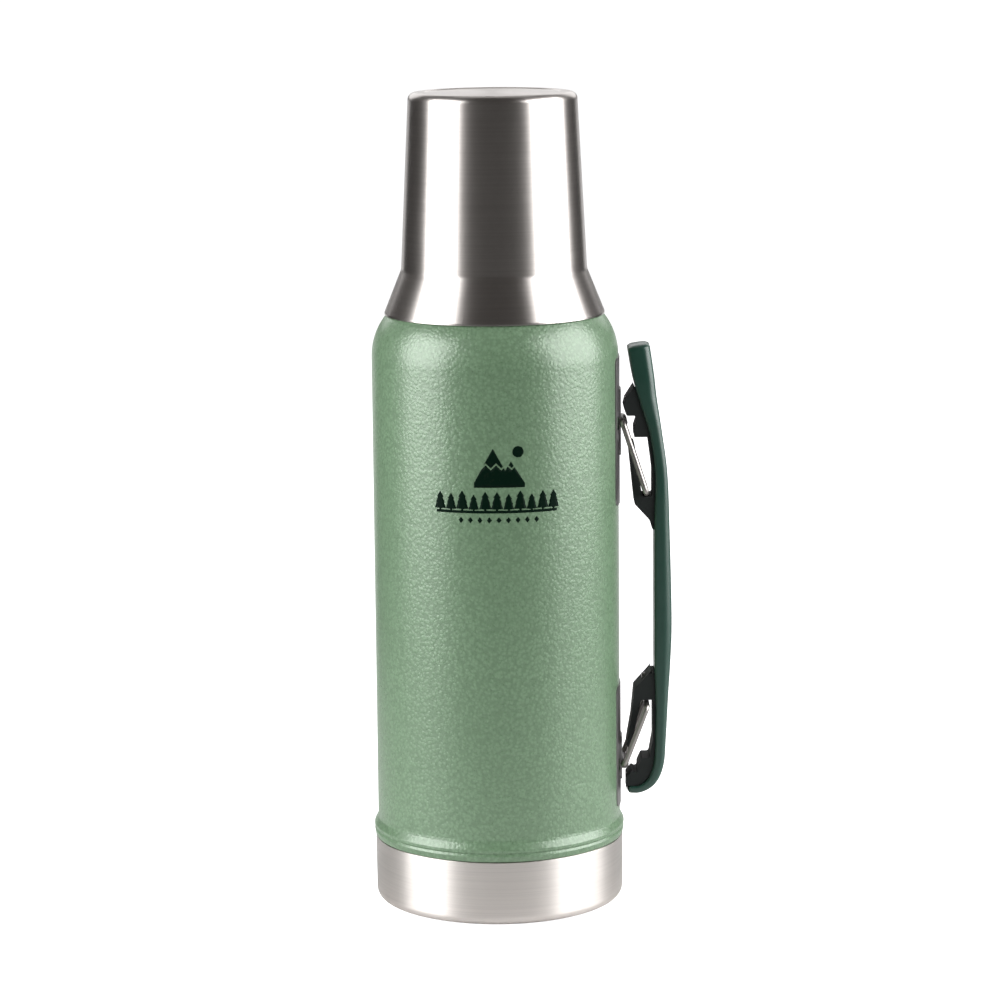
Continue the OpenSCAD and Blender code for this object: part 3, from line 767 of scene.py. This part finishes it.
class FLASK_OT_print(bpy.types.Operator):
    """Plain pictogram on the front: hills under a sun, a row of pines and a row of lozenges"""

    bl_idname = "flask.front_print"
    bl_label = "Front print"
    bl_options = {"REGISTER"}

    def execute(self, context):
        left, right = -9.8 * MM, 12.8 * MM
        foot, snow = 200.2 * MM, 2.3 * MM
        tops = [(-1.4 * MM, 17.4 * MM, 9.6 * MM), (6.6 * MM, 11.6 * MM, 7.4 * MM)]
        drawing = Surfaces()

        def crest(u):
            return peaks(u, tops)

        def snow_line(u):
            zigzag = np.abs((u / (2.3 * MM)) % 2 - 1) * snow
            return 8.2 * MM + zigzag

        def under_snow(u):
            return np.minimum(crest(u), snow_line(u) - 0.5 * MM)

        def nothing(u):
            return 0 * u

        def above_snow(u):
            return np.where(crest(u) > snow_line(u) + 0.5 * MM, snow_line(u) + 0.5 * MM, crest(u))

        drawing.add(slope(left, right, foot, nothing, under_snow, 160), False, False)
        drawing.add(slope(left, right, foot, above_snow, crest, 160), False, False)

        def sun(t):
            return 2.5 * MM * np.sqrt(np.clip(1 - (2 * t - 1) ** 2, 0, 1))

        drawing.add(figure(9.8 * MM, 213.6 * MM, 5.0 * MM, sun, 40), False, False)
        count, span, low = 11, 52 * MM, 189.4 * MM
        tall = 7.2 * MM + 2.2 * MM * np.abs(np.sin(np.arange(count) * 1.9 + 0.8))
        for k in range(count):
            where = 0.3 * MM + span * (k / (count - 1) - 0.5)
            drawing.add(
                figure(where, low, tall[k], lambda t, h=tall[k]: h * pine(t) * 1.02, 60, 5),
                False, False,
            )
        ground = slope(-27.5 * MM, 28 * MM, low - 0.7 * MM, nothing, lambda u: 0 * u + 1.2 * MM, 80)
        drawing.add(ground, False, False)
        for k in range(9):
            where = 1.1 * MM + 34 * MM * (k / 8 - 0.5)
            drawing.add(
                figure(where, 184.2 * MM, 2.8 * MM, lambda t: 1.1 * MM * (1 - np.abs(2 * t - 1)), 9, 3),
                False, False,
            )
        piece = place(
            "front_print", drawing, material("front_print"), "flask", closed=False
        )
        thick = piece.modifiers.new("ink_thickness", "SOLIDIFY")
        thick.thickness = 0.05 * MM
        thick.offset = 1
        return {"FINISHED"}


# ---- Cup ----


class FLASK_OT_cup(bpy.types.Operator):
    """Steel cup that screws over the stopper: outer skin, inner skin, thread ring and seal"""

    bl_idname = "flask.cup"
    bl_label = "Cup"
    bl_options = {"REGISTER"}

    def execute(self, context):
        s = sizes()
        wall, lip, flare = s.cup_wall, 1.2 * MM, 19.4 * MM
        rim, waist, end = s.cup_rim_r, s.cup_waist_r, s.cup_top_r
        waist_z, top_z = CUP_Z + lip + flare, CUP_TOP
        sunk = 0.35 * MM
        outer = [
            (rim, CUP_Z, 0.15 * MM), (rim, CUP_Z + lip, 1 * MM), (waist, waist_z, 5 * MM),
            (end, top_z - 6 * MM), (end - 0.3 * MM, top_z, 3.5 * MM),
            (end - 7.4 * MM, top_z, 0.4 * MM), (end - 8 * MM, top_z - sunk, 0.3 * MM), (0, top_z - sunk),
            (0, top_z - sunk - wall), (end - 8 * MM, top_z - sunk - wall),
            (end - wall - 0.3 * MM, top_z - sunk - wall, 2.9 * MM), (end - wall, top_z - 6 * MM),
            (waist - wall, waist_z - 0.3 * MM, 5 * MM),
            (rim - wall, CUP_Z + lip - 0.2 * MM, 0.6 * MM), (rim - wall, CUP_Z + 0.8 * MM, 0.1 * MM),
        ]
        turned("cup_skin", outer, material("cup_steel"), "cup", ["cup_outer"], count=224)

        inset = wall + 1.4 * MM
        taper = (waist - end) / (top_z - 6 * MM - waist_z)
        shut_z = top_z - wall - 3.2 * MM

        def bore(z):
            return waist - inset - wall - (z - waist_z) * taper

        low, shut = waist - inset, bore(shut_z)
        hem, hem_top = CUP_Z + 4.3 * MM, CUP_Z + 5 * MM

        def skirt(z):
            drop = (rim - waist) / (flare - 0.1 * MM)
            return rim - wall - (z - CUP_Z - lip + 0.2 * MM) * drop

        inner = [
            (skirt(hem), hem), (skirt(hem_top), hem_top),
            (skirt(hem_top) - 1.4 * MM, hem_top, 0.4 * MM), (low, waist_z - 0.6 * MM, 5 * MM),
            (shut + wall, shut_z, 4 * MM), (0, shut_z), (0, shut_z - wall),
            (shut, shut_z - wall, 3.4 * MM), (low - wall, waist_z - 0.9 * MM, 5 * MM),
            (skirt(hem) - inset, hem, 0.5 * MM),
        ]
        turned("cup_lining", inner, material("inner_steel"), "cup", ["cup_inner"], count=192)

        ring_r, ring_low, ring_top = s.neck_r + 1.5 * MM, MOUTH_Z - 16 * MM, MOUTH_Z - 3 * MM
        outside = bore(waist_z) - 0.3 * MM
        ring = [
            (ring_r, ring_low, 0.5 * MM), (outside, ring_low, 0.3 * MM), (outside, waist_z),
            (bore(ring_top) - 0.3 * MM, ring_top), (ring_r, ring_top, 0.5 * MM),
        ]
        thread = ridge(ring_r, 0.6 * MM, -1, MOUTH_Z - 13 * MM)
        turned(
            "cup_thread", ring, material("stopper_plastic"), "cup",
            ["cup_thread_ring"], [thread],
        )
        r, z = bore(ring_top + 2 * MM) - 0.5 * MM, ring_top + 0.3 * MM
        seal = [
            (r - 3.2 * MM, z, 0.4 * MM), (r, z, 0.4 * MM), (r, z + 2 * MM, 0.4 * MM),
            (r - 3.2 * MM, z + 2 * MM, 0.4 * MM),
        ]
        turned("cup_gasket", seal, material("seal_rubber"), "cup_seal_ring", ["cup_seal"])
        return {"FINISHED"}


# ---- Stopper ----


def channelled(outer, depth, low, high, count, first):
    """Radius of a plug with pouring channels: inside the height range, a wall near the outer
    radius is drawn in by depth over a narrow stretch of angle, count times round."""

    def radius_of(r, z, a):
        phase = np.abs(((a - first) * count / TURN + 0.5) % 1 - 0.5) / count * TURN * outer
        narrow = np.clip((3.0 * MM - phase) / (0.4 * MM), 0, 1)
        tall = np.clip((z - low) / (0.3 * MM), 0, 1) * np.clip((high - z) / (0.3 * MM), 0, 1)
        near = np.clip((r - (outer - 0.9 * MM)) / (0.3 * MM), 0, 1)
        return r - depth * narrow * tall * near

    return radius_of


def fluted(outer, depth, low, count):
    """Radius of a knob with finger flutes: each is a half sine of angle, which fades in above
    low and runs out over the top edge."""

    def radius_of(r, z, a):
        wave = np.clip(np.cos(a * count), 0, 1) ** 1.2
        tall = np.clip((z - low) / (2.0 * MM), 0, 1)
        near = np.clip((r - (outer - 4 * MM)) / (3 * MM), 0, 1)
        return r - depth * wave * tall * near

    return radius_of


class FLASK_OT_stopper(bpy.types.Operator):
    """Screw stopper: plug with its thread and pouring channels, fluted knob, and two seals"""

    bl_idname = "flask.stopper"
    bl_label = "Stopper"
    bl_options = {"REGISTER"}

    def execute(self, context):
        s = sizes()
        gap = 0.3 * MM
        plug = s.mouth_r - 1.6 * MM
        low, knob_z = MOUTH_Z - 28 * MM, MOUTH_Z + 3 * MM
        top = knob_z + 17 * MM
        ring, ring_z = 1.1 * MM, MOUTH_Z - 3.5 * MM
        ring_mid = s.mouth_r - 0.4 * MM - ring
        groove = ring_mid - ring - gap
        bore = plug - 3 * MM
        outline = [
            (0, low - 6 * MM), (20 * MM, low - 6 * MM, 1 * MM), (20 * MM, low - 4 * MM - gap, 0.2 * MM),
            (14 * MM, low - 4 * MM - gap), (14 * MM, low), (plug, low, 0.8 * MM),
            (plug, low + 6 * MM), (plug, low + 12 * MM), (plug, low + 18 * MM),
            (plug, ring_z - ring - gap), (groove, ring_z - ring - gap), (groove, ring_z + ring + gap),
            (plug, ring_z + ring + gap), (plug, MOUTH_Z + gap), (s.neck_r, MOUTH_Z + gap, 0.5 * MM),
            (s.neck_r, knob_z, 0.8 * MM), (bore, knob_z), (bore, low + 3 * MM), (0, low + 3 * MM),
        ]
        turned(
            "stopper_plug", outline, material("stopper_plastic"), "stopper",
            ["stopper_body"], [ridge(plug, 0.6 * MM, 1, MOUTH_Z - 20 * MM)],
            channelled(plug, 1.2 * MM, low - 1 * MM, low + 19 * MM, 4, math.radians(20)), 288,
        )
        knob = s.knob_r
        cover = [
            (0, top), (knob - 3 * MM, top, 2.5 * MM), (knob, knob_z + 6 * MM, 4 * MM), (knob, knob_z, 1 * MM),
            (knob - 2.4 * MM, knob_z), (knob - 2.4 * MM, top - 2.6 * MM, 2 * MM), (0, top - 2.6 * MM),
        ]
        turned(
            "stopper_knob", cover, material("stopper_plastic"), "stopper",
            ["stopper_cover"], (), fluted(knob, 0.9 * MM, knob_z + 2 * MM, 16), 320,
        )
        washer = [
            (14 * MM + gap, low - 4 * MM), (s.mouth_r - 1 * MM, low - 4 * MM, 0.8 * MM),
            (s.mouth_r - 1.4 * MM, low - gap, 0.6 * MM), (14 * MM + gap, low - gap),
        ]
        turned(
            "plug_gasket", washer, material("seal_rubber"), "stopper_seals",
            ["stopper_gasket"],
        )
        angle = np.linspace(0, TURN, 28, endpoint=False)
        circle = [(ring_mid + ring * c, ring_z + ring * k) for c, k in zip(np.cos(angle), np.sin(angle))]
        turned(
            "plug_ring", circle, material("seal_rubber"), "stopper_seals",
            ["stopper_oring"],
        )
        return {"FINISHED"}


# ---- Handle ----

# The grip's middle line and half thickness: out from the body's surface, height, half thickness
GRIP_LINE = np.array([
    (8.9, 256.4, 5.1), (11.2, 242.0, 4.9), (13.3, 231.5, 4.0), (16.7, 216.0, 2.9), (19.1, 197.0, 2.9),
    (19.4, 171.0, 3.6), (19.85, 130.0, 4.05), (19.5, 110.0, 3.75), (19.2, 94.0, 3.0), (18.6, 74.0, 2.5),
    (17.7, 62.0, 2.4), (14.6, 54.3, 2.2), (9.2, 50.4, 1.75), (3.2, 50.2, 1.6),
])


def smooth_line(knots, count):
    """Points along a Catmull-Rom curve through the knots, even in distance."""
    ends = np.concatenate([2 * knots[:1] - knots[1:2], knots, 2 * knots[-1:] - knots[-2:-1]])
    t = np.linspace(0, len(knots) - 1, 60 * len(knots))
    k = np.minimum(t.astype(int), len(knots) - 2)
    f = (t - k)[:, None]
    a, b, c, d = (ends[k + i] for i in range(4))
    curve = 0.5 * (2 * b + (c - a) * f + (2 * a - 5 * b + 4 * c - d) * f**2 + (3 * b - a - 3 * c + d) * f**3)
    run = np.concatenate([[0], np.cumsum(np.linalg.norm(np.diff(curve[:, :2], axis=0), axis=1))])
    even = np.linspace(0, run[-1], count)
    return np.stack([np.interp(even, run, curve[:, i]) for i in range(curve.shape[1])], 1)


def grip_loft(line, half_width, soft):
    """A rounded bar along a flat curve in XZ. At each point of the line (x, z, half thickness) it
    has a rounded oblong section, square to the curve: half thickness by half width less the
    corner radius, plus that radius times (cos v, sin v). The outer corners are rounder than the
    inner ones, and both ends shrink to nothing along a quarter circle of radius soft."""
    centre, half = line[:, :2], line[:, 2:]
    ahead = unit(np.gradient(centre, axis=0))
    outward = np.stack([-ahead[:, 1], ahead[:, 0]], 1)
    along = np.concatenate([[0], np.cumsum(np.linalg.norm(np.diff(centre, axis=0), axis=1))])
    left = np.clip(np.minimum(along, along[-1] - along) / soft, 0, 1)
    shrink = soft * (1 - np.sqrt(1 - (1 - left) ** 2))[:, None]
    half = np.maximum(half - shrink, 0.02 * MM)
    width = np.maximum(half_width - shrink, 0.02 * MM)
    per = 9
    quarter = np.linspace(0, math.pi / 2, per)
    angle = np.concatenate([quarter + k * math.pi / 2 for k in range(4)])[None]
    out_side = np.repeat([1, -1, -1, 1], per)[None]
    wide_side = np.repeat([1, 1, -1, -1], per)[None]
    outer, inner = np.minimum(3.8 * MM, 0.94 * half), np.minimum(1.2 * MM, 0.5 * half)
    corner = np.where(out_side > 0, outer, inner)
    across = out_side * (half - corner) + corner * np.cos(angle)
    sideways = wide_side * (width - corner) + corner * np.sin(angle)
    x = centre[:, :1] + outward[:, :1] * across
    z = centre[:, 1:] + outward[:, 1:] * across
    return np.stack([x, sideways, z], -1)


class FLASK_OT_handle(bpy.types.Operator):
    """Handle: the rounded outer grip; the inner parts and screws keep their shape"""

    bl_idname = "flask.handle"
    bl_label = "Handle"
    bl_options = {"REGISTER"}

    def execute(self, context):
        s = sizes()
        line = smooth_line(GRIP_LINE, 260) * MM + np.array([s.body_r, 0, 0])
        grid = grip_loft(line, s.grip_half_w, 1.5 * MM)
        place(
            "grip_shell", Surfaces().capped(grid), material("grip_plastic"), "handle",
            ["handle_grip"], sharp=60,
        )
        # The inserts' near-black finish is partly their own colour and partly painted shade.
        for node in ("upper_insert", "lower_insert"):
            dress(node, "insert_plastic")
            soften(node, 0.35 * MM)
        dress("handle_screws", "bracket_steel")
        return {"FINISHED"}


def soften(node, width, angle=40):
    """Rounds the edges of a CAD node that stays: welds its triangles and bevels sharp edges."""
    thing = frame["nodes"][node]
    weld = thing.modifiers.new("weld", "WELD")
    weld.merge_threshold = 0.002 * MM
    bevel = thing.modifiers.new("soft_edges", "BEVEL")
    bevel.width = width
    bevel.segments = 3
    bevel.limit_method = "ANGLE"
    bevel.angle_limit = math.radians(angle)
    bevel.use_clamp_overlap = True
    bevel.harden_normals = False


class FLASK_OT_bails(bpy.types.Operator):
    """The two closed wire loops that carry the handle"""

    bl_idname = "flask.bails"
    bl_label = "Wire bails"
    bl_options = {"REGISTER"}

    def execute(self, context):
        s = sizes()
        joints = frame["record"]["behaviour"]["joints"]
        pivots = {j["name"]: np.array(j["pos_m"]) for j in joints if "pos_m" in j}
        for node, joint, size, tilt in (
            ("upper_bail", "upper_bail_swing", 34 * MM, math.radians(180 - 18)),
            ("lower_bail", "lower_bail_swing", 29.5 * MM, math.radians(21)),
        ):
            h, bend = s.bail_half_w, s.bend_r
            corners = [(-h, 0, bend), (h, 0, bend), (h, size, bend), (-h, size, bend)]
            loop = supported(rounded(corners, 8), 0.4 * MM)
            along = np.array([math.sin(tilt), 0, math.cos(tilt)])
            path = pivots[joint] + loop[:, :1] * np.array([0, 1, 0]) + loop[:, 1:] * along
            normal = np.cross([0, 1, 0], along)
            place(
                node + "_wire", Surfaces().add(sweep(path, normal, s.wire_r)), material("bail_wire_painted_shade"),
                node, [node], sharp=80,
            )
        return {"FINISHED"}


class FLASK_OT_brackets(bpy.types.Operator):
    """Finish of the plates and straps that hold the bails, and of the pieces inside"""

    bl_idname = "flask.brackets"
    bl_label = "Brackets and inner pieces"
    bl_options = {"REGISTER"}

    def execute(self, context):
        for node in ("upper_plate", "lower_plate", "upper_strap", "lower_strap"):
            dress(node, "bracket_steel")
            soften(node, 0.25 * MM)
        for node in ("vacuum_seal", "getter", "getter_clip"):
            dress(node, "dull_metal")
        dress("radiation_foil", "copper_foil")
        dress("outer_bottom", "inner_steel")
        dress("stopper_foam", "rigid_foam")
        return {"FINISHED"}


# ---- Stage ----


def softbox(name, azimuth, distance, height, width, tall, power, aim=0.22):
    """A rectangular light that looks at the flask. Azimuth 0 is the camera's side, and it is
    positive to the right."""
    light = bpy.data.lights.new(name, "AREA")
    light.shape = "RECTANGLE"
    light.size, light.size_y = width, tall
    light.energy = power
    box = bpy.data.objects.new(name, light)
    a = math.radians(azimuth)
    spot = np.array([distance * math.sin(a), -distance * math.cos(a), height])
    box.location = spot
    look = np.array([0, 0, aim]) - spot
    flat = math.hypot(look[0], look[1])
    box.rotation_euler = (math.atan2(flat, -look[2]), 0, math.atan2(-look[0], look[1]))
    bpy.context.scene.collection.objects.link(box)


def floor_material():
    """Pale paper. To the camera it is nearly white with a trace of shadow. What it throws back at the flask
    is painted: its colour darkens away from the foot in front and at the sides as painted shade, and a wedge
    behind glows as painted light, standing in for paper that sweeps up into a lit backdrop."""
    f = Finish("pale_floor", bpy.context.scene.flask_stage.floor, Roughness=0.9)
    tree = f.tree
    reach = add(tree, "VectorMath", operation="LENGTH")
    tree.links.new(f.vector, reach.inputs[0])
    # Painted shade: the floor's colour darkens away from the foot, standing in for light falling off.
    fade = ranged(tree, reach.outputs["Value"], 0.15, 0.75, 0.7, 0.14)
    split = add(tree, "SeparateXYZ")
    tree.links.new(f.vector, split.inputs[0])
    # Painted light: a wedge behind the flask glows, standing in for a lit backdrop.
    aside = maths(tree, "MULTIPLY", maths(tree, "ABSOLUTE", split.outputs[0]), 1.7)
    behind = ranged(tree, maths(tree, "SUBTRACT", split.outputs[1], aside), 0.02, 0.14, 0.0, 0.75)
    tree.links.new(behind, f.shader.inputs["Emission Strength"])
    f.shader.inputs["Emission Color"].default_value = (1, 1, 1, 1)
    paper = add(tree, "TexNoise", Scale=60.0, Detail=4.0)
    tree.links.new(f.vector, paper.inputs["Vector"])
    fade = maths(tree, "MULTIPLY", fade, ranged(tree, paper.outputs["Fac"], 0.3, 0.7, 0.985, 1.0))
    painted_falloff = add(tree, "CombineColor")
    for socket in painted_falloff.inputs[:3]:
        tree.links.new(fade, socket)
    f.to(painted_falloff.outputs[0], "Base Color")
    f.shader.inputs["Specular IOR Level"].default_value = 0.1
    seen = add(tree, "Emission", Color=(1, 1, 1, 1))
    tree.links.new(ranged(tree, reach.outputs["Value"], 0.3, 1.5, 0.86, 1.02), seen.inputs["Strength"])
    lit = add(tree, "BsdfDiffuse", Color=(0.9, 0.9, 0.9, 1))
    both = add(tree, "AddShader")
    tree.links.new(seen.outputs[0], both.inputs[0])
    tree.links.new(lit.outputs[0], both.inputs[1])
    rays = add(tree, "LightPath")
    pick = add(tree, "MixShader")
    tree.links.new(rays.outputs["Is Camera Ray"], pick.inputs[0])
    tree.links.new(f.shader.outputs[0], pick.inputs[1])
    tree.links.new(both.outputs[0], pick.inputs[2])
    tree.links.new(pick.outputs[0], tree.nodes["Material Output"].inputs["Surface"])
    return f.material


class FLASK_OT_stage(bpy.types.Operator):
    """Pale floor, soft lights on both sides, behind and above, and the camera"""

    bl_idname = "flask.stage"
    bl_label = "Stage"
    bl_options = {"REGISTER"}

    def execute(self, context):
        scene = context.scene
        p = scene.flask_stage
        t = np.linspace(-15, 15, 41)
        x, y = np.meshgrid(t, t, indexing="ij")
        sheet = Surfaces().add(np.stack([x, y, 0 * x - 0.05 * MM], -1), False, False)
        mesh = sheet.mesh("floor", closed=False)
        mesh.materials.append(floor_material())
        floor = bpy.data.objects.new("floor", mesh)
        scene.collection.objects.link(floor)

        world = bpy.data.worlds.new("studio")
        world.use_nodes = True
        tree = world.node_tree
        room = tree.nodes["Background"]
        room.inputs["Color"].default_value = (1.0, 0.94, 0.91, 1)
        room.inputs["Strength"].default_value = 0.06
        white = add(tree, "Background", Color=(1, 1, 1, 1), Strength=1.3)
        rays = add(tree, "LightPath")
        pick = add(tree, "MixShader")
        tree.links.new(rays.outputs["Is Camera Ray"], pick.inputs[0])
        tree.links.new(room.outputs[0], pick.inputs[1])
        tree.links.new(white.outputs[0], pick.inputs[2])
        tree.links.new(pick.outputs[0], tree.nodes["World Output"].inputs["Surface"])
        scene.world = world

        softbox("left_light", -70, 1.3, 0.60, 1.18, 1.25, 25)
        softbox("right_light", 80, 1.3, 0.66, 1.50, 1.38, 31)
        softbox("back_light", 180, 1.7, 0.95, 2.6, 0.9, 9)
        softbox("top_light", 180, 0.9, 1.9, 1.0, 0.5, 1.5, 0.25)

        camera = bpy.data.cameras.new("camera")
        camera.lens = p.lens
        camera.sensor_width = 36
        camera.shift_x = p.shift
        camera.clip_end = 60
        eye = bpy.data.objects.new("camera", camera)
        eye.location = (0, -p.camera_y, p.camera_z)
        eye.rotation_euler = (math.pi / 2 - p.pitch, 0, 0)
        eye.rotation_euler.rotate_axis("Z", p.roll)
        scene.collection.objects.link(eye)
        scene.camera = eye
        scene.view_settings.view_transform = "Standard"
        return {"FINISHED"}


# ---- Add-on ----


class FLASK_PT_panel(bpy.types.Panel):
    """Sizes, finishes and pieces of the flask"""

    bl_idname = "FLASK_PT_panel"
    bl_label = "Vacuum flask"
    bl_space_type = "VIEW_3D"
    bl_region_type = "UI"
    bl_category = "Flask"

    def draw(self, context):
        for operator in OPERATORS:
            self.layout.operator(operator.bl_idname)
        for settings in ("flask_sizes", "flask_finish", "flask_stage"):
            box = self.layout.box()
            owner = getattr(context.scene, settings)
            for name in owner.__annotations__:
                box.prop(owner, name)


OPERATORS = (
    FLASK_OT_stage,
    FLASK_OT_body,
    FLASK_OT_liner,
    FLASK_OT_print,
    FLASK_OT_cup,
    FLASK_OT_stopper,
    FLASK_OT_handle,
    FLASK_OT_bails,
    FLASK_OT_brackets,
)
CLASSES = (FlaskSizes, FlaskFinish, FlaskStage, *OPERATORS, FLASK_PT_panel)


def register():
    """Adds the classes, and the three property groups on the scene."""
    for cls in CLASSES:
        bpy.utils.register_class(cls)
    bpy.types.Scene.flask_sizes = bpy.props.PointerProperty(type=FlaskSizes)
    bpy.types.Scene.flask_finish = bpy.props.PointerProperty(type=FlaskFinish)
    bpy.types.Scene.flask_stage = bpy.props.PointerProperty(type=FlaskStage)


def unregister():
    """Takes away what register added."""
    del bpy.types.Scene.flask_sizes
    del bpy.types.Scene.flask_finish
    del bpy.types.Scene.flask_stage
    for cls in reversed(CLASSES):
        bpy.utils.unregister_class(cls)


def main():
    """Builds the whole flask."""
    register()
    bpy.ops.flask.stage()
    bpy.ops.flask.body()
    bpy.ops.flask.liner()
    bpy.ops.flask.front_print()
    bpy.ops.flask.cup()
    bpy.ops.flask.stopper()
    bpy.ops.flask.handle()
    bpy.ops.flask.bails()
    bpy.ops.flask.brackets()


if __name__ == "__main__":
    main()
